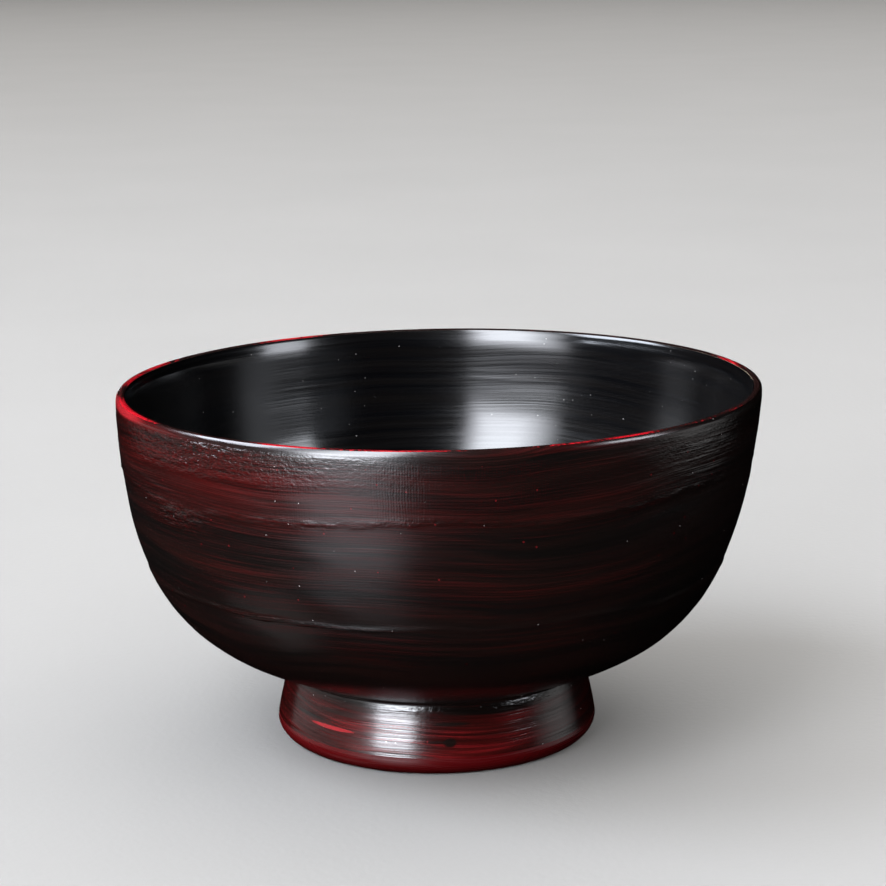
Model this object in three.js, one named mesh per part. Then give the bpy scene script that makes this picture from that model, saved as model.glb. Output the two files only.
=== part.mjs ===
// A turned wooden bowl on a foot ring, bound with hemp cloth at its rim, belly, foot and well,
// levelled with a clay ground and lacquered: black brushed over red outside, plain black inside.
// Millimetres, +Z up. The origin is the middle of the ring on which the bowl stands.
//
// Every piece is a body of revolution. One outline runs round the wood, from the middle of the
// recess under the foot, up the outside, over the lip and down to the middle of the well. Each
// layer is a band of that outline, lifted off the wood by the layers under it.

import * as THREE from "three";

// Outside of the wood. Heights are above the table, and angles are in degrees.
const RIM_RADIUS = 62.5;
const RIM_HEIGHT = 69.5;
const RIM_LEAN = 3; // how far the wall still opens outwards at the rim
const RIM_HANDLE = 44.5; // how long the wall keeps to that lean as it goes down
const LIP_RADIUS = 0.4;
const NECK_RADIUS = 29;
const NECK_HEIGHT = 14.3;
const NECK_FILLET = 1.5;
const BELLY_SLOPE = 22.6; // rise of the underside as it leaves the neck
const BELLY_HANDLE = 17; // how long the underside keeps to that slope

// Inside of the wood.
const INNER_LEAN = 6; // the wall thickens downwards from the lip
const INNER_HANDLE = 30;
const WELL_INSET = 7; // from the lip's inner edge in to where the well's floor would begin

// Foot ring and the recess inside it.
const FOOT_RADIUS = 32; // where the foot's flared side would meet its underside
const FOOT_EDGE = 2.1;
const RECESS_RADIUS = 26.8;
const RECESS_EDGE = 0.8;
const RECESS_FILLET = 1.5;
const RECESS_HEIGHT = 11.2;
const FLOOR_THICKNESS = 6.9; // wood between the recess and the well

// Layers on the wood.
const CLOTH_THICKNESS = 0.3;
const GROUND_THICKNESS = 0.1;
const RED_THICKNESS = 0.1;
const BLACK_THICKNESS = 0.08;
const INNER_BLACK_THICKNESS = 0.1;
const UNDERSIDE_RED_THICKNESS = 0.1;
const BOND = 0.02; // glue line between one layer and the next
const EDGE_GAP = 0.05; // between two pieces that meet edge to edge in one layer

// Widths of the cloths and edges of the coats, measured along the outline of the wood.
const RIM_CLOTH_OUTSIDE = 12.5; // below the lip
const RIM_CLOTH_INSIDE = 9;
const BELLY_CLOTH_START = 3; // out from the neck
const BELLY_CLOTH_WIDTH = 34;
const FOOT_CLOTH_TOP = 1.5; // below the neck
const FOOT_CLOTH_INSIDE = 4; // up the wall of the recess
const WELL_CLOTH_RADIUS = 26;
const BLACK_FOOT_MARGIN = 0.5; // red left bare on the foot's side, above its rounded edge
const BLACK_LIP_SHARE = 0.3; // share of the lip's round that the outer black covers
const LIP_SEAM = 0.75; // share of the lip's round that the outer ground and red cover
const FOOT_SEAM = 0.5; // share of the foot's edge that the underside's coats cover

// Facets round the bowl.
const SEGMENTS = 32;

// How high each layer's lower and upper faces lie over the wood.
const CLOTH_SEAT = BOND;
const CLOTH_FACE = CLOTH_SEAT + CLOTH_THICKNESS;
const GROUND_SEAT = CLOTH_FACE + BOND;
const GROUND_FACE = GROUND_SEAT + GROUND_THICKNESS;
const LACQUER_SEAT = GROUND_FACE + BOND;
const RED_FACE = LACQUER_SEAT + RED_THICKNESS;
const BLACK_SEAT = RED_FACE + BOND;
const BLACK_FACE = BLACK_SEAT + BLACK_THICKNESS;
const INNER_BLACK_FACE = LACQUER_SEAT + INNER_BLACK_THICKNESS;
const UNDERSIDE_RED_FACE = LACQUER_SEAT + UNDERSIDE_RED_THICKNESS;

// Points of a section have the radius as x and the height as y.
const point = (radius, height) => new THREE.Vector2(radius, height);

// A step in the direction of an angle, in degrees, from the horizontal.
function direction(angle) {
  const radians = THREE.MathUtils.degToRad(angle);
  return point(Math.cos(radians), Math.sin(radians));
}

// The arc that rounds off the corner between two straight runs.
function roundedCorner(before, corner, after, radius) {
  const arriving = corner.clone().sub(before).normalize();
  const leaving = after.clone().sub(corner).normalize();
  const setback = radius * Math.tan(arriving.angleTo(leaving) / 2);
  const start = corner.clone().addScaledVector(arriving, -setback);
  const end = corner.clone().addScaledVector(leaving, setback);
  const side = Math.sign(arriving.cross(leaving));
  const centre = start.clone().addScaledVector(point(-arriving.y, arriving.x), side * radius);
  const startAngle = start.clone().sub(centre).angle();
  const endAngle = end.clone().sub(centre).angle();
  return new THREE.EllipseCurve(centre.x, centre.y, radius, radius, startAngle, endAngle, side < 0);
}

// Straight line from where one curve ends to where the next begins.
function joinedBy(first, second) {
  return new THREE.LineCurve(first.getPoint(1), second.getPoint(0));
}

// The stretches of the wood's outline in order, each with the number of facets along it.
function outlineOfWood() {
  const base = UNDERSIDE_RED_FACE;
  const recessMiddle = point(0, RECESS_HEIGHT);
  const recessCorner = point(RECESS_RADIUS, RECESS_HEIGHT);
  const standingInner = point(RECESS_RADIUS, base);
  const standingOuter = point(FOOT_RADIUS, base);
  const neckCorner = point(NECK_RADIUS, NECK_HEIGHT);
  const belowBelly = neckCorner.clone().add(direction(BELLY_SLOPE));

  const recessFillet = roundedCorner(recessMiddle, recessCorner, standingInner, RECESS_FILLET);
  const recessEdge = roundedCorner(recessCorner, standingInner, standingOuter, RECESS_EDGE);
  const footEdge = roundedCorner(standingInner, standingOuter, neckCorner, FOOT_EDGE);
  const neckFillet = roundedCorner(standingOuter, neckCorner, belowBelly, NECK_FILLET);

  const bellyStart = neckFillet.getPoint(1);
  const bellyEnd = point(RIM_RADIUS, RIM_HEIGHT);
  const belly = new THREE.CubicBezierCurve(
    bellyStart,
    bellyStart.clone().addScaledVector(direction(BELLY_SLOPE), BELLY_HANDLE),
    bellyEnd.clone().addScaledVector(direction(90 - RIM_LEAN), -RIM_HANDLE),
    bellyEnd,
  );

  const lipStart = -RIM_LEAN;
  const lipEnd = 180 - INNER_LEAN;
  const lipMiddle = bellyEnd.clone().addScaledVector(direction(lipStart), -LIP_RADIUS);
  const lip = new THREE.EllipseCurve(
    lipMiddle.x,
    lipMiddle.y,
    LIP_RADIUS,
    LIP_RADIUS,
    THREE.MathUtils.degToRad(lipStart),
    THREE.MathUtils.degToRad(lipEnd),
  );

  const insideStart = lip.getPoint(1);
  const wellHeight = RECESS_HEIGHT + FLOOR_THICKNESS;
  const inside = new THREE.CubicBezierCurve(
    insideStart,
    insideStart.clone().addScaledVector(direction(90 - INNER_LEAN), -INNER_HANDLE),
    point(insideStart.x - WELL_INSET, wellHeight),
    point(0, wellHeight),
  );

  const recessCeiling = new THREE.LineCurve(recessMiddle, recessFillet.getPoint(0));

  return [
    { name: "recessCeiling", curve: recessCeiling, facets: 1 },
    { name: "recessFillet", curve: recessFillet, facets: 2 },
    { name: "recessWall", curve: joinedBy(recessFillet, recessEdge), facets: 1 },
    { name: "recessEdge", curve: recessEdge, facets: 1 },
    { name: "standingFace", curve: joinedBy(recessEdge, footEdge), facets: 1 },
    { name: "footEdge", curve: footEdge, facets: 2 },
    { name: "footSide", curve: joinedBy(footEdge, neckFillet), facets: 1 },
    { name: "neckFillet", curve: neckFillet, facets: 2 },
    { name: "belly", curve: belly, facets: 8 },
    { name: "lip", curve: lip, facets: 3 },
    { name: "inside", curve: inside, facets: 8 },
  ];
}

// The outline as stations, each with its place, the direction away from the wood and its distance
// along the outline, and the distances at which each named stretch starts and ends.
function traced(stretches) {
  const stations = [];
  const reach = {};
  let along = 0;
  for (const { name, curve, facets } of stretches) {
    const length = curve.getLength();
    for (let facet = stations.length ? 1 : 0; facet <= facets; facet += 1) {
      const share = facet / facets;
      const place = curve.getPointAt(share);
      const tangent = curve.getTangentAt(share);
      const away = point(tangent.y, -tangent.x);
      if (place.x === 0) away.set(0, Math.sign(away.y));
      stations.push({ place, away, along: along + share * length });
    }
    reach[name] = { start: along, end: along + length, length };
    along += length;
  }
  return { stations, reach };
}

const { stations, reach } = traced(outlineOfWood());

// The station at a distance along the outline, on the straight facet between its neighbours.
function stationAt(along) {
  const next = Math.max(1, stations.findIndex((station) => station.along >= along));
  const [before, after] = [stations[next - 1], stations[next]];
  const share = (along - before.along) / (after.along - before.along);
  return {
    place: before.place.clone().lerp(after.place, share),
    away: before.away.clone().lerp(after.away, share),
  };
}

// Points over a band of the outline, at one height over the wood.
function lifted(band, height) {
  const inBand = stations.filter(({ along }) => along > band.start && along < band.end);
  const all = [stationAt(band.start), ...inBand, stationAt(band.end)];
  return all.map(({ place, away }) => place.clone().addScaledVector(away, height));
}

// Points under a band of ground, which fills the hollows beside the cloths and covers their faces.
function underGround(band, cloths) {
  const points = [];
  let reached = band.start;
  for (const cloth of cloths) {
    const start = Math.max(cloth.start - EDGE_GAP, reached);
    const end = Math.min(cloth.end + EDGE_GAP, band.end);
    if (start > reached) points.push(...lifted({ start: reached, end: start }, BOND));
    points.push(...lifted({ start, end }, GROUND_SEAT));
    reached = end;
  }
  if (reached < band.end) points.push(...lifted({ start: reached, end: band.end }, BOND));
  return points;
}

// The section of a layer: along its upper face and back along its lower face. A layer that reaches
// the axis starts and ends there, and any other closes on itself.
function section(upper, lower) {
  const back = lower.toReversed();
  if (upper.at(-1).x === 0) return [...back, ...upper];
  if (upper[0].x === 0) return [...upper, ...back];
  return [...upper, ...back, upper[0]];
}

// Bands of the outline that the pieces cover.
const end = reach.inside.end;
const footSeam = reach.footEdge.start + FOOT_SEAM * reach.footEdge.length;
const lipSeam = reach.lip.start + LIP_SEAM * reach.lip.length;
const bellyClothStart = reach.belly.start + BELLY_CLOTH_START;

const rimCloth = {
  start: reach.belly.end - RIM_CLOTH_OUTSIDE,
  end: reach.inside.start + RIM_CLOTH_INSIDE,
};
const bellyCloth = { start: bellyClothStart, end: bellyClothStart + BELLY_CLOTH_WIDTH };
const footCloth = {
  start: reach.recessWall.end - FOOT_CLOTH_INSIDE,
  end: reach.footSide.end - FOOT_CLOTH_TOP,
};
const wellCloth = { start: end - WELL_CLOTH_RADIUS, end };
const underside = { start: 0, end: footSeam - EDGE_GAP };
const outside = { start: footSeam, end: lipSeam };
const inside = { start: lipSeam + EDGE_GAP, end };
const outsideBlack = {
  start: reach.footSide.start + BLACK_FOOT_MARGIN,
  end: reach.lip.start + BLACK_LIP_SHARE * reach.lip.length,
};

// Finishes.
const wood = new THREE.MeshStandardMaterial({ color: 0xa9855a, roughness: 0.75, metalness: 0 });
const hemp = new THREE.MeshStandardMaterial({ color: 0x9a8c70, roughness: 0.95, metalness: 0 });
const ground = new THREE.MeshStandardMaterial({ color: 0x3b332c, roughness: 0.9, metalness: 0 });
const redLacquer = new THREE.MeshStandardMaterial({ color: 0x7d101a, roughness: 0.3, metalness: 0 });
const blackLacquer = new THREE.MeshStandardMaterial({ color: 0x1c0b0d, roughness: 0.25, metalness: 0 });

// One turned piece from its section.
function turned(name, points, material) {
  const geometry = new THREE.LatheGeometry(points, SEGMENTS);
  geometry.rotateX(Math.PI / 2);
  const mesh = new THREE.Mesh(geometry, material.clone());
  mesh.name = name;
  return mesh;
}

// A layer of one thickness over a band.
function layer(name, band, seat, face, material) {
  return turned(name, section(lifted(band, face), lifted(band, seat)), material);
}

// A layer of ground over a band, with its upper face level over the cloths in that band.
function groundLayer(name, band, cloths) {
  return turned(name, section(lifted(band, GROUND_FACE), underGround(band, cloths)), ground);
}

const bowl = new THREE.Group();
bowl.name = "lacquered_bowl";
bowl.add(
  turned("wood_core", stations.map(({ place }) => place), wood),
  layer("rim_cloth", rimCloth, CLOTH_SEAT, CLOTH_FACE, hemp),
  layer("belly_cloth", bellyCloth, CLOTH_SEAT, CLOTH_FACE, hemp),
  layer("foot_cloth", footCloth, CLOTH_SEAT, CLOTH_FACE, hemp),
  layer("well_cloth", wellCloth, CLOTH_SEAT, CLOTH_FACE, hemp),
  groundLayer("outer_ground", outside, [footCloth, bellyCloth, rimCloth]),
  groundLayer("inner_ground", inside, [rimCloth, wellCloth]),
  groundLayer("underside_ground", underside, [footCloth]),
  layer("outer_red_lacquer", outside, LACQUER_SEAT, RED_FACE, redLacquer),
  layer("outer_black_lacquer", outsideBlack, BLACK_SEAT, BLACK_FACE, blackLacquer),
  layer("inner_black_lacquer", inside, LACQUER_SEAT, INNER_BLACK_FACE, blackLacquer),
  layer("underside_red_lacquer", underside, LACQUER_SEAT, UNDERSIDE_RED_FACE, redLacquer),
);

export default bowl;
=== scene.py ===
"""A turned wooden bowl, bound with hemp cloth and lacquered black over red: its looks.

Metres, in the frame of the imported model. An azimuth is 0 towards the camera and 90 degrees towards
+X, and theta is an azimuth in radians. Every piece is turned from one outline of the wood, as in
the model, but smooth, and the coats that show have the relief of the cloth under them and the
marks of the brush.
"""

import math

import bpy
import numpy as np
from mathutils import Matrix, Vector


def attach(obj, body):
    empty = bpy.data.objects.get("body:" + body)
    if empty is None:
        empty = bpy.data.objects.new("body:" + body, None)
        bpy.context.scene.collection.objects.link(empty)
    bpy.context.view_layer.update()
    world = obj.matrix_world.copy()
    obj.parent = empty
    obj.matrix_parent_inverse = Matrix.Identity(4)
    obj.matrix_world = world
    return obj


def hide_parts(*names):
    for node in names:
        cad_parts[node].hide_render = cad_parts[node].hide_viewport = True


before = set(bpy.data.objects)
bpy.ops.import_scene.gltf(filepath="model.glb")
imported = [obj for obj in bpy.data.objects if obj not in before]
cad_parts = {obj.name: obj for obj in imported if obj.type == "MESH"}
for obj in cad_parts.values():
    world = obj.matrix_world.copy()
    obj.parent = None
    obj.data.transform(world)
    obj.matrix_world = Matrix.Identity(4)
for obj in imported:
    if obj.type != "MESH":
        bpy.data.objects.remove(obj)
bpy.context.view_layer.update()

MM = 0.001

# Outside of the wood.
RIM_RADIUS = 62.5 * MM
RIM_HEIGHT = 69.5 * MM
RIM_LEAN = 3
RIM_HANDLE = 44.5 * MM
LIP_RADIUS = 0.4 * MM
NECK_RADIUS = 29 * MM
NECK_HEIGHT = 14.3 * MM
NECK_FILLET = 1.5 * MM
BELLY_SLOPE = 22.6
BELLY_HANDLE = 17 * MM

# Inside of the wood.
INNER_LEAN = 6
INNER_HANDLE = 30 * MM
WELL_INSET = 7 * MM

# Foot ring and the recess inside it.
FOOT_RADIUS = 32 * MM
FOOT_EDGE = 2.1 * MM
RECESS_RADIUS = 26.8 * MM
RECESS_EDGE = 0.8 * MM
RECESS_FILLET = 1.5 * MM
RECESS_HEIGHT = 11.2 * MM
FLOOR_THICKNESS = 6.9 * MM

# How high the layers' lower and upper faces lie over the wood.
BOND = 0.02 * MM
CLOTH_FACE = 0.32 * MM
GROUND_SEAT = 0.34 * MM
GROUND_FACE = 0.44 * MM
LACQUER_SEAT = 0.46 * MM
LACQUER_FACE = 0.56 * MM
BLACK_SEAT = 0.58 * MM
BLACK_FACE = 0.66 * MM
EDGE_GAP = 0.05 * MM
FEATHER = 1.6 * MM  # over which a coat thins out to its edge
LEAST_SHARE = 0.1  # of a coat's thickness, left at its edge

# Widths of the cloths and edges of the coats, along the outline of the wood.
RIM_CLOTH_OUTSIDE = 12.5 * MM
RIM_CLOTH_INSIDE = 9 * MM
BELLY_CLOTH_START = 3 * MM
BELLY_CLOTH_WIDTH = 34 * MM
FOOT_CLOTH_TOP = 1.5 * MM
FOOT_CLOTH_INSIDE = 4 * MM
WELL_CLOTH_RADIUS = 26 * MM
BLACK_FOOT_MARGIN = 0.5 * MM
BLACK_LIP_SHARE = 0.3
LIP_SEAM = 0.75
FOOT_SEAM = 0.5

# The bowl isn't quite true: its rim leans and sits a little to the right of its foot.
RIM_SHIFT = 0.94 * MM
BELLY_SHIFT = 0.16 * MM
BELLY_SHIFT_HEIGHT = 40 * MM
RIM_TILT = 0.0093

# Facets round each piece, and the distance between rows along each stretch of the outline.
SHOWN_COLUMNS = 404
HIDDEN_COLUMNS = 256
CURVE_STEPS = 400
ARC_ROW = 0.2 * MM
PLAIN_ROW = 1.1 * MM
COARSE_ROW = 2.2 * MM
FINE_ROW = 0.33 * MM
FOOT_ROW = 0.22 * MM
SHARP_ANGLE = 40

# Where the cloths show through the lacquer outside.
RIM_CLOTH_EDGE = 56.9 * MM
BELLY_CLOTH_EDGE = 37.3 * MM
RIDGE_ZONE = (33 * MM, 41 * MM)
RIM_ZONE = 50 * MM
WEAVE_TOP = 68.4 * MM
UNEVEN_START = (16 * MM, 20 * MM)
BELLY_STEP_START = (20 * MM, 34 * MM)
RIM_STEP_END = (66 * MM, 69 * MM)
FOLD_AZIMUTH = -75  # where a slanting fold of the cloth is at its height
FOLD_HEIGHT = 61.2 * MM
FOLD_SLOPE = 0.13 * MM  # downwards for each degree
LUMPS_START = (61.5 * MM, 64.5 * MM)
LUMPS_END = (68.8 * MM, 69.5 * MM)
LUMPY_SIDE = -50
NECK_LUMPS = 12.6 * MM
KNOT_HEIGHT = 53.5  # in millimetres, as the spots below
FOOT_TOP = (13 * MM, 14.2 * MM)
FOOT_GLOSS_TOP = (13 * MM, 15 * MM)
FOOT_STREAKS_TOP = (11 * MM, 13 * MM)
STREAKS_START = (58 * MM, 62 * MM)
STREAKY_SIDE = 62
THREAD_PITCH = 0.49 * MM
THREADS_ROUND = 804
WANDER_SCALE = 22.0  # waves for each metre, in which strokes wander up and down
WANDER_GAIN = 4  # because the noise strays by about a quarter

# The black inside rolls over towards the lip, and shows two lines of the cloth under it.
ROLL_HEIGHT = 0.30  # in millimetres
ROLL_CROWN = 65.8 * MM
ROLL_REACH = 4.2 * MM
ROLL_FADE = 25 * MM
ROLL_ZONE = 14 * MM
DEEPEST = -0.06  # lowest relief of a coat over its even face, in millimetres
UPPER_LINE = 61.5 * MM
LOWER_LINE = 59.5 * MM

# Camera, fitted to the bowl's outline in a square picture.
PICTURE_SIDE = 886
FOCAL_PIXELS = 2307.9
SENSOR_WIDTH = 36
CAMERA_PLACE = Vector((0.42, -446.3, 156.5)) * MM
CAMERA_PITCH = 12.45
CAMERA_YAW = 0.16
CAMERA_ROLL = -0.44

# Lamps: azimuths and elevations in degrees as seen from the bowl.
LAMP_DISTANCE = 1.2
LAMP_MIDDLE = 0.04  # height from which the elevations are seen
LAMP_WATTS = 4  # of a lamp of radiance 1, for each square metre
BOX_GAP = 0.02  # between boxes one inside another
KEY_OUTER = ((-54, -12.5), (7, 68))
KEY_INNER = ((-38, -19.5), (15, 58))
BELOW_OUTER = (-52, -11)
BELOW_INNER = (-42, -19)
BELOW_STEPS = (((-12, 0), 3.1), ((-25, -12), 1.6), ((-40, -25), 0.95), ((-60, -40), 0.2))
GLOW_OUTER = ((73, 115), (-14, 6))
GLOW_INNER = ((85, 103), (-14, 6))
STRIP_DISTANCE = 0.5
BACK_DISTANCE = 0.6
WHITE = (1, 1, 1)
COOL = (0.96, 1.0, 1.08)
COLD = (0.92, 1.0, 1.13)

# Floor and backdrop.
FLOOR_SIDE = 14
FLOOR_LAMP_HEIGHT = 4
FLOOR_LIGHT = 3.3
BACKDROP_GREY = (0.4, 0.4, 0.4, 1)


# Outline of the wood


def direction(angle):
    """A step in the direction of an angle, in degrees, from the horizontal."""
    return np.array([math.cos(math.radians(angle)), math.sin(math.radians(angle))])


def line(start, end):
    share = np.linspace(0, 1, CURVE_STEPS)[:, None]
    return start + share * (end - start)


def arc(centre, radius, start, end):
    angles = np.radians(np.linspace(start, end, CURVE_STEPS))
    return centre + radius * np.stack([np.cos(angles), np.sin(angles)], axis=1)


def bezier(start, first, second, end):
    t = np.linspace(0, 1, CURVE_STEPS)[:, None]
    u = 1 - t
    return u**3 * start + 3 * u**2 * t * first + 3 * u * t**2 * second + t**3 * end


def rounded_corner(before, corner, after, radius):
    """The arc that rounds off the corner between two straight runs."""
    arriving = (corner - before) / np.linalg.norm(corner - before)
    leaving = (after - corner) / np.linalg.norm(after - corner)
    heading = math.degrees(math.atan2(arriving[1], arriving[0]))
    crossing = arriving[0] * leaving[1] - arriving[1] * leaving[0]
    turn = math.degrees(math.atan2(crossing, arriving @ leaving))
    side = math.copysign(1, turn)
    start = corner - arriving * radius * math.tan(math.radians(abs(turn)) / 2)
    centre = start + side * radius * direction(heading + 90)
    return arc(centre, radius, heading - side * 90, heading - side * 90 + turn)


def outline_of_wood():
    """Stretches of the outline in order, from the recess's middle to the well's middle."""
    base = LACQUER_FACE
    recess_middle = np.array([0, RECESS_HEIGHT])
    recess_corner = np.array([RECESS_RADIUS, RECESS_HEIGHT])
    standing_inner = np.array([RECESS_RADIUS, base])
    standing_outer = np.array([FOOT_RADIUS, base])
    neck_corner = np.array([NECK_RADIUS, NECK_HEIGHT])
    below_belly = neck_corner + direction(BELLY_SLOPE)

    recess_fillet = rounded_corner(recess_middle, recess_corner, standing_inner, RECESS_FILLET)
    recess_edge = rounded_corner(recess_corner, standing_inner, standing_outer, RECESS_EDGE)
    foot_edge = rounded_corner(standing_inner, standing_outer, neck_corner, FOOT_EDGE)
    neck_fillet = rounded_corner(standing_outer, neck_corner, below_belly, NECK_FILLET)

    belly_start = neck_fillet[-1]
    belly_end = np.array([RIM_RADIUS, RIM_HEIGHT])
    belly_handle = belly_start + BELLY_HANDLE * direction(BELLY_SLOPE)
    rim_handle = belly_end - RIM_HANDLE * direction(90 - RIM_LEAN)

    lip_middle = belly_end - LIP_RADIUS * direction(-RIM_LEAN)
    lip = arc(lip_middle, LIP_RADIUS, -RIM_LEAN, 180 - INNER_LEAN)
    inside_start = lip[-1]
    inner_handle = inside_start - INNER_HANDLE * direction(90 - INNER_LEAN)
    well_middle = np.array([0, RECESS_HEIGHT + FLOOR_THICKNESS])
    well_handle = np.array([inside_start[0] - WELL_INSET, well_middle[1]])
    return {
        "recess_ceiling": line(recess_middle, recess_fillet[0]),
        "recess_fillet": recess_fillet,
        "recess_wall": line(recess_fillet[-1], recess_edge[0]),
        "recess_edge": recess_edge,
        "standing_face": line(recess_edge[-1], foot_edge[0]),
        "foot_edge": foot_edge,
        "foot_side": line(foot_edge[-1], neck_fillet[0]),
        "neck_fillet": neck_fillet,
        "belly": bezier(belly_start, belly_handle, rim_handle, belly_end),
        "lip": lip,
        "inside": bezier(inside_start, inner_handle, well_handle, well_middle),
    }


class Outline:
    """The wood's outline by distance along it, with the direction away from the wood."""

    def __init__(self, stretches):
        self.start = {}
        self.end = {}
        points = [list(stretches.values())[0][:1]]
        reached = 0.0
        for name, curve in stretches.items():
            self.start[name] = reached
            reached += np.linalg.norm(np.diff(curve, axis=0), axis=1).sum()
            self.end[name] = reached
            points.append(curve[1:])
        self.points = np.concatenate(points)
        steps = np.linalg.norm(np.diff(self.points, axis=0), axis=1)
        self.along = np.concatenate([[0], np.cumsum(steps)])
        tangent = np.gradient(self.points, self.along, axis=0)
        tangent /= np.linalg.norm(tangent, axis=1)[:, None]
        self.away = np.stack([tangent[:, 1], -tangent[:, 0]], axis=1)
        self.away[[0, -1], 0] = 0

    def at(self, along):
        """Places on the wood and directions away from it, one row for each distance."""
        place = [np.interp(along, self.along, self.points[:, i]) for i in (0, 1)]
        away = [np.interp(along, self.along, self.away[:, i]) for i in (0, 1)]
        return np.stack(place, axis=1), np.stack(away, axis=1)

    def along_belly(self, height):
        """The distance along the outline at which the belly reaches a height."""
        on_belly = (self.along >= self.start["belly"]) & (self.along <= self.end["belly"])
        return np.interp(height, self.points[on_belly, 1], self.along[on_belly])


outline = Outline(outline_of_wood())
start_of, end_of = outline.start, outline.end
OUTLINE_END = end_of["inside"]
foot_seam = start_of["foot_edge"] + FOOT_SEAM * (end_of["foot_edge"] - start_of["foot_edge"])
lip_length = end_of["lip"] - start_of["lip"]
lip_seam = start_of["lip"] + LIP_SEAM * lip_length
belly_cloth_start = start_of["belly"] + BELLY_CLOTH_START

# Bands of the outline that the pieces cover.
RIM_CLOTH = (end_of["belly"] - RIM_CLOTH_OUTSIDE, start_of["inside"] + RIM_CLOTH_INSIDE)
BELLY_CLOTH = (belly_cloth_start, belly_cloth_start + BELLY_CLOTH_WIDTH)
FOOT_CLOTH = (end_of["recess_wall"] - FOOT_CLOTH_INSIDE, end_of["foot_side"] - FOOT_CLOTH_TOP)
WELL_CLOTH = (OUTLINE_END - WELL_CLOTH_RADIUS, OUTLINE_END)
UNDERSIDE = (0.0, foot_seam - EDGE_GAP)
OUTSIDE = (foot_seam, lip_seam)
INSIDE = (lip_seam + EDGE_GAP, OUTLINE_END)
BLACK_END = start_of["lip"] + BLACK_LIP_SHARE * lip_length
OUTSIDE_BLACK = (start_of["foot_side"] + BLACK_FOOT_MARGIN, BLACK_END)


# Rows along the outline and columns round it

ARCS = ("recess_fillet", "recess_edge", "foot_edge", "neck_fillet", "lip")


def rows(band, spacing, zones=()):
    """Distances along a band, closer together on small arcs and in the zones given."""
    finer = [(start_of[name], end_of[name], ARC_ROW) for name in ARCS]
    finer += list(zones)
    marks = [band[0]]
    while marks[-1] < band[1]:
        here = marks[-1]
        inside = [step for low, high, step in finer if low - spacing <= here <= high]
        marks.append(here + min([spacing, *inside]))
    marks = np.array(marks)
    return band[0] + (marks - band[0]) * (band[1] - band[0]) / (marks[-1] - band[0])


def columns(count):
    """Azimuths round the bowl, in radians."""
    return np.linspace(-math.pi, math.pi, count, endpoint=False)


def rings(along, height, theta):
    """Points over the outline at heights over the wood, one ring for each distance along it."""
    place, away = outline.at(along)
    height = np.broadcast_to(height, (len(along), len(theta)))
    radius = place[:, :1] + height * away[:, :1]
    level = place[:, 1:] + height * away[:, 1:]
    return np.stack([radius * np.sin(theta), -radius * np.cos(theta), level], axis=2)


def settled(points):
    """Points moved as the real bowl leans: the foot stays, and the rim shifts and tilts."""
    x, y, z = points[..., 0], points[..., 1], points[..., 2]
    rim_height = RIM_HEIGHT + BLACK_FACE
    shift = np.interp(z, [0, BELLY_SHIFT_HEIGHT, rim_height], [0, BELLY_SHIFT, RIM_SHIFT])
    share = np.clip(z / rim_height, 0, 1)
    lift = RIM_TILT * x * share**2 * (3 - 2 * share)
    return np.stack([x + shift, y, z + lift], axis=-1)


def turned_piece(name, points, marks, replaced, material):
    """A closed mesh from rings of points, with a value of each mark at each point."""
    on_axis = np.ptp(points, axis=1).max(axis=1) < BOND
    keep = np.ones(points.shape[:2], bool)
    keep[on_axis, 1:] = False
    index = np.cumsum(keep.ravel()).reshape(keep.shape) - 1
    index[on_axis] = index[on_axis][:, :1]
    ring_pairs = list(zip(range(len(points) - 1), range(1, len(points))))
    if not on_axis.any():
        ring_pairs.append((len(points) - 1, 0))
    faces = []
    for low, high in ring_pairs:
        corners = [index[low], np.roll(index[low], -1), np.roll(index[high], -1), index[high]]
        if on_axis[low]:
            corners.pop(1)
        if on_axis[high]:
            corners.pop(2)
        faces += np.stack(corners, axis=1).tolist()
    mesh = bpy.data.meshes.new(name)
    mesh.from_pydata(settled(points)[keep].tolist(), [], faces)
    for mark, values in marks.items():
        layer = mesh.attributes.new(mark, "FLOAT", "POINT")
        layer.data.foreach_set("value", values[keep].astype(np.float32))
    mesh.shade_smooth()
    mesh.set_sharp_from_angle(angle=math.radians(SHARP_ANGLE))
    mesh.materials.append(material)
    piece = bpy.data.objects.new(name, mesh)
    bpy.context.scene.collection.objects.link(piece)
    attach(piece, "root")
    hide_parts(replaced)
    return piece


def coat(name, band, seat, face, replaced, material, count, upper, relief=None, masks=None):
    """A skin over a band: its upper face has relief and masks, its lower face lies on its seat.

    seat is one height over the wood, or a function of the distance along the outline.
    """
    theta = columns(count)
    lower = rows(band, COARSE_ROW)
    seat_heights = seat(lower) if callable(seat) else np.full(len(lower), seat)
    from_start = np.inf if band[0] == 0 else upper - band[0]
    from_end = np.inf if band[1] == OUTLINE_END else band[1] - upper
    edge_seat = np.interp(upper, lower, seat_heights)
    feather = np.clip(np.minimum(from_start, from_end) / FEATHER, LEAST_SHARE, 1)
    height = (edge_seat + (face - edge_seat) * feather)[:, None]
    place, _ = outline.at(upper)
    spread = np.broadcast_to(theta, (len(upper), count))
    level = np.broadcast_to(place[:, 1:], (len(upper), count))
    if relief:
        height = height + relief(spread, level) * feather[:, None]
    top = rings(upper, height, theta)
    bottom = rings(lower, seat_heights[:, None], theta)
    values = {"along": np.broadcast_to(upper[:, None], (len(upper), count))}
    if masks:
        values.update(masks(spread, level))
    under = {"along": np.broadcast_to(lower[:, None], (len(lower), count))}
    order = -1 if band[1] == OUTLINE_END else 1
    points = np.concatenate([top, bottom[::-1]][::order])
    marks = {}
    for mark, value in values.items():
        hidden = under.get(mark, np.zeros((len(lower), count)))
        marks[mark] = np.concatenate([value, hidden[::-1]][::order])
    return turned_piece(name, points, marks, replaced, material)


# Relief and marks of the brush, as functions of azimuth and height


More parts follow.
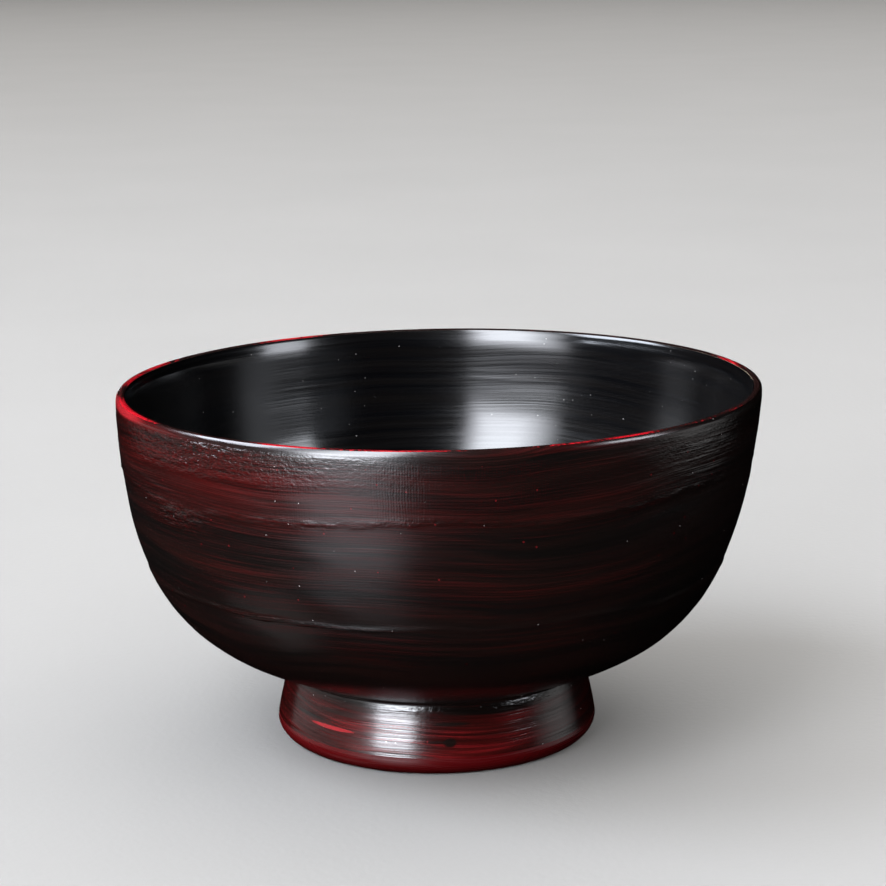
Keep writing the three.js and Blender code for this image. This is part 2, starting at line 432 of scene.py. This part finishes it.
def swell(theta, level, turns, pitch, seed):
    """Seamless unevenness of unit size: about so many waves round, and one per pitch upwards."""
    draw = np.random.default_rng(seed)
    total = 0.0
    waves = 24
    for _ in range(waves):
        round_bowl = round(draw.normal(0, turns))
        upwards = draw.normal(0, 2 * math.pi / pitch)
        total = total + np.cos(round_bowl * theta + upwards * level + draw.uniform(0, 2 * math.pi))
    return total / math.sqrt(waves / 2)


def smooth(low, high, value):
    """0 below low, 1 above high and a soft step between."""
    share = np.clip((value - low) / (high - low), 0, 1)
    return share**2 * (3 - 2 * share)


def spot(theta, level, azimuth, height, half_width, half_height, power=2):
    """A spot that is 1 at its middle, sharper with a higher power; degrees and millimetres."""
    aside = (theta - math.radians(azimuth) + math.pi) % (2 * math.pi) - math.pi
    across = aside / math.radians(half_width)
    up = (level - height * MM) / (half_height * MM)
    return np.exp(-((across**2 + up**2) ** (power / 2)))


def span(theta, azimuth, half_width):
    """A soft sector that is 1 at its middle; degrees."""
    aside = (theta - math.radians(azimuth) + math.pi) % (2 * math.pi) - math.pi
    return np.exp(-((aside / math.radians(half_width)) ** 2))


def ridge(level, edge, half_width):
    """A soft ridge that is 1 along an edge."""
    return np.exp(-(((level - edge) / half_width) ** 2))


def rim_cloth_edge(theta):
    """Height of the rim cloth's frayed lower edge."""
    wave = 0.35 * swell(theta, 0, 9, 1, 11) + 0.2 * swell(theta, 0, 40, 1, 12)
    sag = 2.2 * span(theta, -52, 14) - 1.2 * span(theta, 48, 20)
    return RIM_CLOTH_EDGE + (wave - sag) * MM


def belly_cloth_edge(theta):
    """Height of the belly cloth's upper edge."""
    wave = 0.25 * swell(theta, 0, 7, 1, 13) + 0.1 * swell(theta, 0, 30, 1, 14)
    sag = 3.0 * span(theta, -102, 22)
    return BELLY_CLOTH_EDGE + (wave - sag) * MM


def rough_places(theta, level):
    """How lumpy the outside is: below the lip, at the cloths' edges, at the neck and at a knot."""
    sectors = 0.08 + 0.92 * span(theta, LUMPY_SIDE, 25) + 0.3 * span(theta, 60, 18)
    height = smooth(*LUMPS_START, level) * (1 - smooth(*LUMPS_END, level))
    edge = 0.3 * ridge(level, rim_cloth_edge(theta), 0.9 * MM)
    neck = 0.5 * ridge(level, NECK_LUMPS, 0.8 * MM) * span(theta, 20, 30)
    knot = 0.8 * spot(theta, level, LUMPY_SIDE, KNOT_HEIGHT, 8, 2.2)
    seam = 0.55 * ridge(level, belly_cloth_edge(theta) - 0.2 * MM, 0.5 * MM) * span(theta, -38, 28)
    return np.clip(sectors, 0, 1) * height + edge + neck + knot + seam


def outer_relief(theta, level):
    """Height of the outer black over its even face; its terms are in millimetres."""
    on_belly = smooth(*UNEVEN_START, level)
    uneven = 0.03 * swell(theta, level, 6, 18 * MM, 21) * on_belly
    uneven = uneven + 0.012 * swell(theta, level, 14, 6 * MM, 22) * on_belly
    rim_edge = rim_cloth_edge(theta)
    shown = 1 - 0.8 * span(theta, 72, 30)
    rim_step = 0.07 * shown * smooth(rim_edge - 0.5 * MM, rim_edge + 0.5 * MM, level)
    rim_step = rim_step * (1 - smooth(*RIM_STEP_END, level))
    fray = np.clip(0.5 + swell(theta, level, 70, 1.5 * MM, 23), 0, 2)
    rim_ridge = 0.085 * shown * ridge(level, rim_edge, 0.45 * MM) * fray
    belly_edge = belly_cloth_edge(theta)
    belly_step = 0.13 * (1 - smooth(belly_edge - 0.6 * MM, belly_edge + 0.5 * MM, level))
    belly_step = belly_step * smooth(*BELLY_STEP_START, level)
    patchy = np.clip(0.55 + 0.5 * swell(theta, level, 12, 4 * MM, 24), 0.1, 1.4)
    belly_ridge = 0.10 * ridge(level, belly_edge - 0.3 * MM, 0.36 * MM) * patchy
    fold_line = FOLD_HEIGHT - FOLD_SLOPE * np.degrees(theta - math.radians(FOLD_AZIMUTH))
    fold = 0.06 * ridge(level, fold_line, 0.5 * MM) * span(theta, -62, 16)
    lumps = 0.05 * swell(theta, level, 55, 1.1 * MM, 25) * rough_places(theta, level)
    knot = spot(theta, level, LUMPY_SIDE, KNOT_HEIGHT, 7, 2.2)
    knot = 0.09 * knot * swell(theta, level, 80, 0.9 * MM, 26)
    total = uneven + rim_step + rim_ridge + belly_step + belly_ridge + fold + lumps + knot
    return np.maximum(total, DEEPEST) * MM


def inner_relief(theta, level):
    """Height of the inner black over its even face; its terms are in millimetres."""
    above = 1 - ((level - ROLL_CROWN) / ROLL_REACH) ** 2
    below = smooth(ROLL_CROWN - ROLL_FADE, ROLL_CROWN, level)
    roll = ROLL_HEIGHT * np.where(level > ROLL_CROWN, above, below)
    upper = ridge(level, UPPER_LINE + 0.25 * MM * swell(theta, 0, 6, 1, 31), 0.35 * MM)
    lower = ridge(level, LOWER_LINE + 0.3 * MM * swell(theta, 0, 5, 1, 32), 0.35 * MM)
    patchy = np.clip(0.5 + 0.6 * swell(theta, level, 9, 6 * MM, 33), 0, 1.5)
    lines = 0.008 * (upper + 0.7 * lower) * patchy
    in_bowl = smooth(19 * MM, 26 * MM, level)
    uneven = 0.02 * swell(theta, level, 5, 16 * MM, 34) * in_bowl
    return np.maximum(roll + lines + uneven, DEEPEST) * MM


# How bare of black the red is apart from the spots and sectors below.
BELLY_BARE = 0.24
FOOT_BARE = 0.68
FOOT_EDGE_BARE = 0.86
LIP_BARE = 0.16
UNDERSIDE_BARE = 0.8
# Spots where more or less red shows through the brushed black: azimuth and height of the middle,
# half width and half height, and strength.
BELLY_SPOTS = (
    (-42, 60, 20, 6, 0.20),
    (-74, 69.7, 20, 1.1, 1.2),
    (26, 69.6, 16, 0.5, 0.45),
    (-60, 65, 24, 4, 0.30),
    (-22, 65.5, 16, 3.5, 0.3),
    (15, 43.5, 28, 2.4, 0.13),
    (-20, 38.8, 30, 1.0, -0.20),
    (-62, 43, 9, 3, -0.15),
    (-12, 33.5, 12, 3, 0.14),
    (75, 40, 40, 40, -0.36),
    (0, 22, 60, 6, -0.06),
    (-5, 60, 30, 7, 0.18),
    (160, 50, 40, 12, 0.12),
    (-140, 34, 30, 10, 0.1),
)
FOOT_SPOTS = (
    (8, 5.5, 16, 3.4, 0.10),
    (65, 7, 22, 8, -0.22),
    (-41, 7.1, 10.5, 0.36, 1.1),
    (-37, 10.3, 10, 0.45, -0.55),
    (-52, 8.2, 9, 0.35, -0.4),
    (4.5, 6.5, 1.8, 0.7, -1.3),
    (0, 6.6, 4, 0.25, -0.5),
    (5, 9.9, 6, 0.3, -0.7),
    (20, 11.9, 18, 0.8, -0.4),
)
FOOT_SPOT_POWER = 4  # sharper than the belly's
# Sectors of the lip where the red is bare: azimuth, half width and strength.
LIP_SECTORS = (
    (-68, 14, 1.0),
    (-98, 10, 0.7),
    (32, 7, 0.8),
    (54, 18, 0.42),
    (-25, 7, 0.95),
    (-8, 14, 0.65),
    (24, 14, 0.55),
    (-148, 12, 0.7),
    (-110, 9, 0.7),
    (105, 10, 0.6),
)


def outer_masks(theta, level):
    """Marks on the outer black: how bare of it the red is, and how woven, rough and streaky."""
    on_foot = 1 - smooth(*FOOT_TOP, level)
    belly = BELLY_BARE + 0.05 * swell(theta, level, 5, 20 * MM, 41)
    for *place, strength in BELLY_SPOTS:
        belly = belly + strength * spot(theta, level, *place)
    foot = FOOT_BARE + 0.06 * swell(theta, level, 8, 5 * MM, 42)
    foot = foot + 0.3 * (1 - smooth(2 * MM, 4.5 * MM, level))
    foot = foot - 0.5 * smooth(11 * MM, 13 * MM, level)
    for *place, strength in FOOT_SPOTS:
        foot = foot + strength * spot(theta, level, *place, FOOT_SPOT_POWER)
    bare = belly + (foot - belly) * on_foot
    edge = rim_cloth_edge(theta)
    in_band = smooth(edge, edge + 0.8 * MM, level) * (1 - smooth(WEAVE_TOP - MM, WEAVE_TOP, level))
    patchy = 0.6 + 0.3 * swell(theta, level, 9, 7 * MM, 43) + 0.3 * span(theta, -5, 25)
    on_side = on_foot * smooth(3 * MM, 4 * MM, level) * 0.08
    return {
        "bare": bare,
        "weave": in_band * np.clip(patchy, 0.15, 1) + on_side,
        "rough": rough_places(theta, level),
        "streaky": 0.27 * on_foot + smooth(*STREAKS_START, level) * span(theta, STREAKY_SIDE, 22),
    }


def red_masks(theta, level):
    """Marks on the outer red: how bare it is on the lip and at the foot's edge."""
    lip = np.full(theta.shape, LIP_BARE)
    for azimuth, half_width, strength in LIP_SECTORS:
        lip = np.maximum(lip, strength * span(theta, azimuth, half_width))
    on_lip = smooth(60 * MM, 65 * MM, level)
    foot = FOOT_EDGE_BARE - 0.3 * span(theta, 75, 35)
    return {"bare": foot + (lip - foot) * on_lip, "fresh": on_lip}


def underside_masks(theta, level):
    """Marks on the red under the foot: the same all over."""
    return {"bare": np.full(theta.shape, UNDERSIDE_BARE), "fresh": np.zeros(theta.shape)}


# Finishes


class Finish:
    """A material's shader, with short ways to add nodes to it."""

    def __init__(self, name):
        self.material = bpy.data.materials.new(name)
        self.material.use_nodes = True
        self.tree = self.material.node_tree
        self.shader = self.tree.nodes["Principled BSDF"]

    def feed(self, socket, value):
        if isinstance(value, bpy.types.NodeSocket):
            self.tree.links.new(value, socket)
        else:
            socket.default_value = value

    def add(self, kind, inputs, **settings):
        node = self.tree.nodes.new("ShaderNode" + kind)
        for key, value in settings.items():
            setattr(node, key, value)
        for key, value in inputs.items():
            self.feed(node.inputs[key], value)
        return node

    def math(self, operation, first, second=0.0):
        return self.add("Math", {0: first, 1: second}, operation=operation).outputs[0]

    def sum(self, first, *others):
        for other in others:
            first = self.math("ADD", first, other)
        return first

    def scaled(self, value, factor):
        return self.math("MULTIPLY", value, factor)

    def blend(self, *parts):
        """A sum of values, each times its weight."""
        return self.sum(*[self.scaled(value, weight) for value, weight in parts])

    def step(self, value, low, high, from_value=0.0, to_value=1.0):
        """A soft step between two values as another goes from low to high."""
        inputs = {
            "Value": value,
            "From Min": low,
            "From Max": high,
            "To Min": from_value,
            "To Max": to_value,
        }
        return self.add("MapRange", inputs, interpolation_type="SMOOTHSTEP").outputs["Result"]

    def colour(self, share, first, second):
        """A colour from first to second as share goes from 0 to 1."""
        inputs = {0: share, 6: (*first, 1) if isinstance(first, tuple) else first}
        inputs[7] = (*second, 1) if isinstance(second, tuple) else second
        return self.add("Mix", inputs, data_type="RGBA").outputs[2]

    def mark(self, name):
        return self.add("Attribute", {}, attribute_name=name).outputs["Fac"]

    def place(self):
        return self.add("TexCoord", {}).outputs["Object"]

    def axes(self):
        node = self.add("SeparateXYZ", {0: self.place()})
        return node.outputs[0], node.outputs[1], node.outputs[2]

    def noise(self, vector, scale, detail=2.0, roughness=0.5):
        inputs = {"Vector": vector, "Scale": scale, "Detail": detail, "Roughness": roughness}
        return self.add("TexNoise", inputs).outputs["Fac"]

    def brush(self, length, width, wander=2.0 * MM, detail=3.0):
        """Marks of a brush drawn round the bowl: so long and so wide, and wandering up and down."""
        x, y, _ = self.axes()
        stray = self.math("SUBTRACT", self.noise(self.place(), WANDER_SCALE, 1.0), 0.5)
        level = self.sum(self.mark("along"), self.scaled(stray, WANDER_GAIN * wander))
        vector = self.add("CombineXYZ", {
            0: self.scaled(x, 1 / length),
            1: self.scaled(y, 1 / length),
            2: self.scaled(level, 1 / width),
        }).outputs[0]
        return self.noise(vector, 1.0, detail, 0.55)

    def weave(self):
        """Threads of a plain weave, round the bowl and up it, from 0 to 1."""
        x, y, _ = self.axes()
        azimuth = self.math("ARCTAN2", x, y)
        jitter = self.scaled(self.noise(self.place(), 260.0, 3.0, 0.6), 9.0)
        upright = self.math("SINE", self.sum(self.scaled(azimuth, THREADS_ROUND), jitter))
        paired = self.math("SINE", self.sum(self.scaled(azimuth, THREADS_ROUND / 2), jitter))
        level = self.scaled(self.mark("along"), 2 * math.pi / THREAD_PITCH)
        across = self.math("SINE", self.sum(level, self.scaled(jitter, 1.5)))
        crossed = self.math("MULTIPLY", upright, across)
        total = self.blend((upright, 0.4), (paired, 0.2), (across, 0.15), (crossed, 0.2))
        return self.sum(self.scaled(total, 0.55), 0.5)

    def specks(self, scale, size, share):
        """Small round specks in a share of the cells of a grid of points."""
        inputs = {"Vector": self.place(), "Scale": scale}
        cells = self.add("TexVoronoi", inputs)
        near = self.math("LESS_THAN", cells.outputs["Distance"], size)
        chosen = self.add("SeparateColor", {0: cells.outputs["Color"]}).outputs[0]
        return self.math("MULTIPLY", near, self.math("LESS_THAN", chosen, share))

    def bump(self, height):
        """Bumps whose height is in millimetres."""
        inputs = {"Height": height, "Strength": 1.0, "Distance": MM}
        self.feed(self.shader.inputs["Normal"], self.add("Bump", inputs).outputs[0])

    def set(self, **sockets):
        for name, value in sockets.items():
            self.feed(self.shader.inputs[name.replace("_", " ")], value)
        return self.material


def brushed_lacquer():
    """Black lacquer brushed thinly over red, over cloth that shows as ribs and lumps."""
    finish = Finish("brushed_lacquer")
    fine = finish.brush(22 * MM, 0.2 * MM, 1.3 * MM)
    middle = finish.brush(40 * MM, 0.8 * MM, 2.2 * MM)
    broad = finish.brush(70 * MM, 3.2 * MM, 3.5 * MM)
    bristles = finish.brush(18 * MM, 0.45 * MM, 0.7 * MM)
    grain = finish.noise(finish.place(), 2600.0, 2.0)
    lump = finish.blend((finish.brush(1.1 * MM, 0.5 * MM, 0.5 * MM), 1.0), (grain, 0.25))
    threads = finish.weave()
    rough, streaky = finish.mark("rough"), finish.mark("streaky")

    base = brushed_colour(finish, fine, middle, broad, grain, lump, threads)
    on_belly = finish.step(finish.axes()[2], *FOOT_GLOSS_TOP, 0.13, 0.18)
    gloss = finish.sum(on_belly, finish.step(fine, 0.3, 0.7, 0.0, 0.08), finish.scaled(rough, -0.09))
    uneven = finish.math("MULTIPLY", finish.math("SUBTRACT", bristles, 0.5), streaky)
    shine = finish.math("MAXIMUM", finish.sum(finish.scaled(uneven, 3.2), 0.5), 0.1)

    patches = finish.step(finish.noise(finish.place(), 420.0, 2.0), 0.3, 0.7, 0.4, 1.0)
    shown = finish.math("MULTIPLY", patches, finish.mark("weave"))
    ribs = finish.math("MULTIPLY", threads, shown)
    lumps = finish.math("MULTIPLY", lump, rough)
    streaks = finish.math("MULTIPLY", finish.blend((middle, 0.12), (bristles, 0.12)), streaky)
    strokes = finish.blend((fine, 0.020), (middle, 0.014), (grain, 0.006))
    finish.bump(finish.sum(finish.blend((ribs, 0.017), (lumps, 0.27)), strokes, streaks))
    return finish.set(Base_Color=base, Roughness=gloss, Specular_IOR_Level=shine)


def brushed_colour(finish, fine, middle, broad, grain, lump, threads):
    """Colour of the brushed lacquer: a black film, the red that shows through it, dust, and painted
    shade in the hollows of the lumps.
    """
    # Painted shade: the film is darker in the hollows of the lumps and redder on their crests.
    lump_hollow_shade = finish.math("MULTIPLY", finish.math("SUBTRACT", lump, 0.62), finish.mark("rough"))
    marks = finish.blend((fine, 0.46), (middle, 0.26), (broad, 0.11), (grain, 0.17), (lump_hollow_shade, 0.8))
    shift = finish.scaled(finish.math("SUBTRACT", finish.mark("bare"), 0.5), 0.5)
    crests = finish.step(finish.blend((threads, 0.5), (grain, 0.5)), 0.52, 0.72)
    worn = finish.scaled(finish.math("MULTIPLY", crests, finish.mark("weave")), 0.5)
    pins = finish.scaled(finish.specks(400.0, 0.07, 0.3), 0.6)
    bare = finish.step(finish.sum(marks, shift), 0.32, 0.78)
    bare = finish.math("MAXIMUM", bare, finish.math("MAXIMUM", worn, pins))
    on_foot = finish.step(finish.axes()[2], *FOOT_STREAKS_TOP, 0.3, 0.0)
    worn_foot = finish.math("MULTIPLY", finish.step(finish.mark("bare"), 0.55, 0.8), on_foot)
    red_streaks = finish.math("MULTIPLY", finish.step(middle, 0.48, 0.66), worn_foot)
    clean = finish.math("MAXIMUM", finish.step(finish.mark("bare"), 1.0, 1.4), pins)
    clean = finish.math("MAXIMUM", clean, red_streaks)

    thin_film, thick_film = (0.0044, 0.0020, 0.0016), (0.0020, 0.0014, 0.0012)
    dark_red, light_red = (0.0120, 0.0007, 0.0007), (0.032, 0.0016, 0.0014)
    fresh_red, dust_grey = (0.15, 0.006, 0.008), (0.22, 0.20, 0.19)
    film = finish.colour(finish.step(broad, 0.35, 0.65), thick_film, thin_film)
    red = finish.colour(finish.step(fine, 0.3, 0.7), dark_red, light_red)
    coloured = finish.colour(bare, film, finish.colour(clean, red, fresh_red))
    return finish.colour(finish.specks(500.0, 0.05, 0.22), coloured, dust_grey)


def red_lacquer():
    """Red lacquer, bright where fresh, with a film of black left on it in strokes."""
    finish = Finish("red_lacquer")
    fine = finish.brush(20 * MM, 0.25 * MM)
    grain = finish.noise(finish.place(), 1400.0, 2.0)
    shift = finish.math("SUBTRACT", finish.mark("bare"), 0.5)
    shown = finish.blend((fine, 0.5), (grain, 0.5), (shift, 0.6))
    bare = finish.step(shown, 0.42, 0.62)
    red = finish.colour(finish.mark("fresh"), (0.044, 0.0015, 0.0019), (0.26, 0.004, 0.008))
    film = finish.colour(fine, (0.004, 0.002, 0.002), (0.012, 0.004, 0.003))
    base = finish.colour(bare, film, red)
    finish.bump(finish.blend((fine, 0.012), (grain, 0.010)))
    gloss = finish.step(fine, 0.3, 0.7, 0.18, 0.32)
    return finish.set(Base_Color=base, Roughness=gloss, Specular_IOR_Level=0.3)


def black_lacquer():
    """Plain black lacquer with the marks of the brush."""
    finish = Finish("black_lacquer")
    fine = finish.brush(40 * MM, 0.35 * MM, 1.0 * MM)
    broad = finish.brush(80 * MM, 2.0 * MM, 1.0 * MM)
    tone = finish.step(broad, 0.35, 0.65)
    coloured = finish.colour(tone, (0.0008, 0.0008, 0.0010), (0.0019, 0.0016, 0.0015))
    base = finish.colour(finish.specks(500.0, 0.05, 0.6), coloured, (0.20, 0.19, 0.18))
    finish.bump(finish.blend((fine, 0.009), (broad, 0.008)))
    return finish.set(Base_Color=base, Roughness=finish.step(fine, 0.3, 0.7, 0.14, 0.20))


def wood():
    """Turned wood, with grain and pores along the block."""
    finish = Finish("wood")
    x, y, z = finish.axes()
    stretched = finish.add("CombineXYZ", {0: x, 1: finish.scaled(y, 6.0), 2: finish.scaled(z, 6.0)})
    grain = finish.noise(stretched.outputs[0], 60.0, 4.0)
    pores = finish.noise(stretched.outputs[0], 900.0, 2.0)
    share = finish.blend((grain, 0.7), (pores, 0.3))
    base = finish.colour(finish.step(share, 0.35, 0.65), (0.22, 0.11, 0.045), (0.48, 0.30, 0.15))
    finish.bump(finish.scaled(pores, 0.05))
    return finish.set(Base_Color=base, Roughness=finish.step(pores, 0.3, 0.7, 0.55, 0.8))


def hemp():
    """Plain-woven hemp, stiff with lacquer."""
    finish = Finish("hemp_cloth")
    weave = finish.weave()
    slub = finish.noise(finish.place(), 250.0, 3.0)
    share = finish.blend((weave, 0.6), (slub, 0.4))
    base = finish.colour(finish.step(share, 0.25, 0.75), (0.10, 0.075, 0.045), (0.42, 0.34, 0.22))
    finish.bump(finish.scaled(weave, 0.12))
    return finish.set(Base_Color=base, Roughness=finish.step(slub, 0.3, 0.7, 0.8, 0.95))


def clay():
    """Clay and lacquer paste, rubbed level."""
    finish = Finish("clay_ground")
    grain = finish.noise(finish.place(), 1500.0, 3.0)
    patch = finish.noise(finish.place(), 60.0, 2.0)
    share = finish.blend((grain, 0.4), (patch, 0.6))
    base = finish.colour(finish.step(share, 0.3, 0.7), (0.022, 0.017, 0.013), (0.07, 0.055, 0.042))
    finish.bump(finish.scaled(grain, 0.02))
    return finish.set(Base_Color=base, Roughness=finish.step(grain, 0.3, 0.7, 0.75, 0.92))


# Pieces


def ground_seat(cloths):
    """The lower face of a ground: on the wood beside the cloths, and on their faces over them."""
    def seat(along):
        over = np.zeros(len(along), bool)
        for start, end in cloths:
            over |= (along >= start - EDGE_GAP) & (along <= end + EDGE_GAP)
        return np.where(over, GROUND_SEAT, BOND)
    return seat


def make_pieces():
    """All the pieces, from the wood outwards; returns the outer black."""
    make_wood()
    make_cloths()
    make_grounds()
    make_reds()
    outside = make_outer_black()
    make_inner_black()
    return outside


def make_wood():
    along = rows((0.0, OUTLINE_END), PLAIN_ROW)
    points = rings(along, np.zeros((len(along), 1)), columns(HIDDEN_COLUMNS))
    marks = {"along": np.broadcast_to(along[:, None], points.shape[:2])}
    turned_piece("turned_wood", points, marks, "wood_core", wood())


def make_cloths():
    cloths = (
        ("rim_hemp", RIM_CLOTH, "rim_cloth"),
        ("belly_hemp", BELLY_CLOTH, "belly_cloth"),
        ("foot_hemp", FOOT_CLOTH, "foot_cloth"),
        ("well_hemp", WELL_CLOTH, "well_cloth"),
    )
    material = hemp()
    for name, band, node in cloths:
        upper = rows(band, PLAIN_ROW)
        coat(name, band, BOND, CLOTH_FACE, node, material, HIDDEN_COLUMNS, upper)


def make_grounds():
    grounds = (
        ("outer_clay", OUTSIDE, "outer_ground", (FOOT_CLOTH, BELLY_CLOTH, RIM_CLOTH)),
        ("inner_clay", INSIDE, "inner_ground", (RIM_CLOTH, WELL_CLOTH)),
        ("underside_clay", UNDERSIDE, "underside_ground", (FOOT_CLOTH,)),
    )
    material = clay()
    for name, band, node, cloths in grounds:
        upper = rows(band, PLAIN_ROW)
        seat = ground_seat(cloths)
        coat(name, band, seat, GROUND_FACE, node, material, HIDDEN_COLUMNS, upper)


def make_reds():
    reds = (
        ("red_coat", OUTSIDE, "outer_red_lacquer", SHOWN_COLUMNS, red_masks),
        ("underside_red_coat", UNDERSIDE, "underside_red_lacquer", HIDDEN_COLUMNS, underside_masks),
    )
    material = red_lacquer()
    for name, band, node, count, masks in reds:
        upper = rows(band, PLAIN_ROW)
        coat(
            name, band, LACQUER_SEAT, LACQUER_FACE, node,
            material, count, upper, masks=masks,
        )


def make_outer_black():
    zones = (
        (start_of["foot_side"], end_of["foot_side"], FOOT_ROW),
        (outline.along_belly(RIDGE_ZONE[0]), outline.along_belly(RIDGE_ZONE[1]), FINE_ROW),
        (outline.along_belly(RIM_ZONE), end_of["belly"], FINE_ROW),
    )
    upper = rows(OUTSIDE_BLACK, PLAIN_ROW, zones)
    return coat(
        "brushed_black_coat", OUTSIDE_BLACK, BLACK_SEAT, BLACK_FACE, "outer_black_lacquer",
        brushed_lacquer(), SHOWN_COLUMNS, upper, outer_relief, outer_masks,
    )


def make_inner_black():
    roll = (start_of["inside"], start_of["inside"] + ROLL_ZONE, FINE_ROW)
    upper = rows(INSIDE, PLAIN_ROW, (roll,))
    coat(
        "inner_black_coat", INSIDE, LACQUER_SEAT, LACQUER_FACE, "inner_black_lacquer",
        black_lacquer(), SHOWN_COLUMNS, upper, inner_relief,
    )


# Camera, lamps and floor


def make_camera():
    """The camera, a little above the bowl's rim and in front of it."""
    pitch, yaw, roll = (math.radians(angle) for angle in (CAMERA_PITCH, CAMERA_YAW, CAMERA_ROLL))
    ahead = Vector((math.sin(yaw) * math.cos(pitch), math.cos(yaw) * math.cos(pitch), -math.sin(pitch)))
    level_right = Vector((math.cos(yaw), -math.sin(yaw), 0))
    level_up = level_right.cross(ahead)
    right = math.cos(roll) * level_right + math.sin(roll) * level_up
    up = math.cos(roll) * level_up - math.sin(roll) * level_right
    turn = Matrix((right, up, -ahead)).transposed()
    data = bpy.data.cameras.new("camera")
    data.sensor_width = SENSOR_WIDTH
    data.lens = SENSOR_WIDTH * FOCAL_PIXELS / PICTURE_SIDE
    camera = bpy.data.objects.new("camera", data)
    camera.matrix_world = Matrix.Translation(CAMERA_PLACE) @ turn.to_4x4()
    bpy.context.scene.collection.objects.link(camera)
    bpy.context.scene.camera = camera


def soft_box(name, azimuths, elevations, radiance, colour=WHITE, distance=LAMP_DISTANCE):
    """An upright lamp that fills a range of azimuths and elevations seen from the bowl."""
    middle = math.radians(sum(azimuths) / 2)
    half_width = math.radians(azimuths[1] - azimuths[0]) / 2
    low, high = (distance * math.tan(math.radians(angle)) for angle in elevations)
    data = bpy.data.lights.new(name, "AREA")
    data.shape = "RECTANGLE"
    data.color = colour
    data.size = 2 * distance * math.tan(half_width)
    data.size_y = high - low
    data.energy = radiance * LAMP_WATTS * data.size * data.size_y
    lamp = bpy.data.objects.new(name, data)
    outward = Vector((math.sin(middle), -math.cos(middle), 0))
    lamp.location = outward * distance + Vector((0, 0, LAMP_MIDDLE + (low + high) / 2))
    lamp.rotation_euler = (-outward).to_track_quat("-Z", "Y").to_euler()
    lamp.visible_camera = False
    bpy.context.scene.collection.objects.link(lamp)
    return lamp


def light_only(lamp, thing):
    """Let a lamp light one thing and nothing else."""
    lit = bpy.data.collections.new("lit_by_" + lamp.name)
    lit.objects.link(thing)
    lamp.light_linking.receiver_collection = lit


def nested_boxes(name, count, outer, inner, radiance, colour=WHITE):
    """Soft boxes one inside another, for soft edges; outer and inner are azimuths and elevations."""
    for step in range(count):
        share = step / (count - 1)
        azimuths, elevations = (1 - share) * np.array(outer) + share * np.array(inner)
        distance = LAMP_DISTANCE - step * BOX_GAP
        soft_box(f"{name}_{step}", azimuths, elevations, radiance / count, colour, distance)


def make_lamps(outside):
    """Soft boxes all round, two of which light the bowl's outside alone."""
    nested_boxes("key", 6, KEY_OUTER, KEY_INNER, 18, COOL)
    foot_lamp = soft_box("key_foot", (-44, -18), (0, 14), 19.5, COOL, LAMP_DISTANCE + BOX_GAP)
    light_only(foot_lamp, outside)
    soft_box("left", (-103, -64), (26, 60), 17, COLD)
    soft_box("right_strip", (57, 76), (8.5, 30), 8.5, COOL, STRIP_DISTANCE)
    nested_boxes("right_glow", 3, GLOW_OUTER, GLOW_INNER, 0.65)
    soft_box("left_glow", (-125, -64), (-12, 2), 0.45)
    soft_box("left_below", (-103, -64), (-60, -40), 0.2)
    soft_box("key_beside", (-64, -47), (-14, 0), 1.0)
    for elevations, radiance in BELOW_STEPS:
        outer, inner = (BELOW_OUTER, elevations), (BELOW_INNER, elevations)
        nested_boxes(f"below_{-elevations[1]}", 3, outer, inner, radiance, COOL)
    back_lamp = soft_box("back", (174, 186), (5, 45), 25, COOL, BACK_DISTANCE)
    light_only(back_lamp, outside)


def make_floor_lamp(floor):
    """A wide even light from above for the floor alone."""
    data = bpy.data.lights.new("floor_lamp", "AREA")
    data.size = FLOOR_SIDE
    data.energy = FLOOR_LIGHT * LAMP_WATTS * FLOOR_SIDE**2
    lamp = bpy.data.objects.new("floor_lamp", data)
    lamp.location = (0, 0, FLOOR_LAMP_HEIGHT)
    lamp.visible_camera = False
    bpy.context.scene.collection.objects.link(lamp)
    light_only(lamp, floor)


def make_floor():
    """A plain pale floor that the lacquer doesn't mirror."""
    half = FLOOR_SIDE / 2
    mesh = bpy.data.meshes.new("floor")
    corners = [(-half, -half, 0), (half, -half, 0), (half, half, 0), (-half, half, 0)]
    mesh.from_pydata(corners, [], [(0, 1, 2, 3)])
    finish = Finish("floor")
    patch = finish.noise(finish.place(), 8.0, 3.0)
    base = finish.colour(patch, (0.097, 0.094, 0.089), (0.109, 0.105, 0.100))
    finish.bump(finish.scaled(finish.noise(finish.place(), 700.0, 2.0), 0.05))
    mesh.materials.append(finish.set(Base_Color=base, Roughness=0.8))
    floor = bpy.data.objects.new("floor", mesh)
    bpy.context.scene.collection.objects.link(floor)
    floor.visible_glossy = False
    floor.visible_diffuse = False
    floor.visible_shadow = False
    return floor


def make_world():
    """A plain pale backdrop that lights nothing."""
    world = bpy.data.worlds.new("backdrop")
    bpy.context.scene.world = world
    world.use_nodes = True
    world.node_tree.nodes["Background"].inputs["Color"].default_value = BACKDROP_GREY
    world.cycles_visibility.diffuse = False
    world.cycles_visibility.glossy = False
    bpy.context.scene.view_settings.view_transform = "Standard"


make_camera()
make_lamps(make_pieces())
make_floor_lamp(make_floor())
make_world()
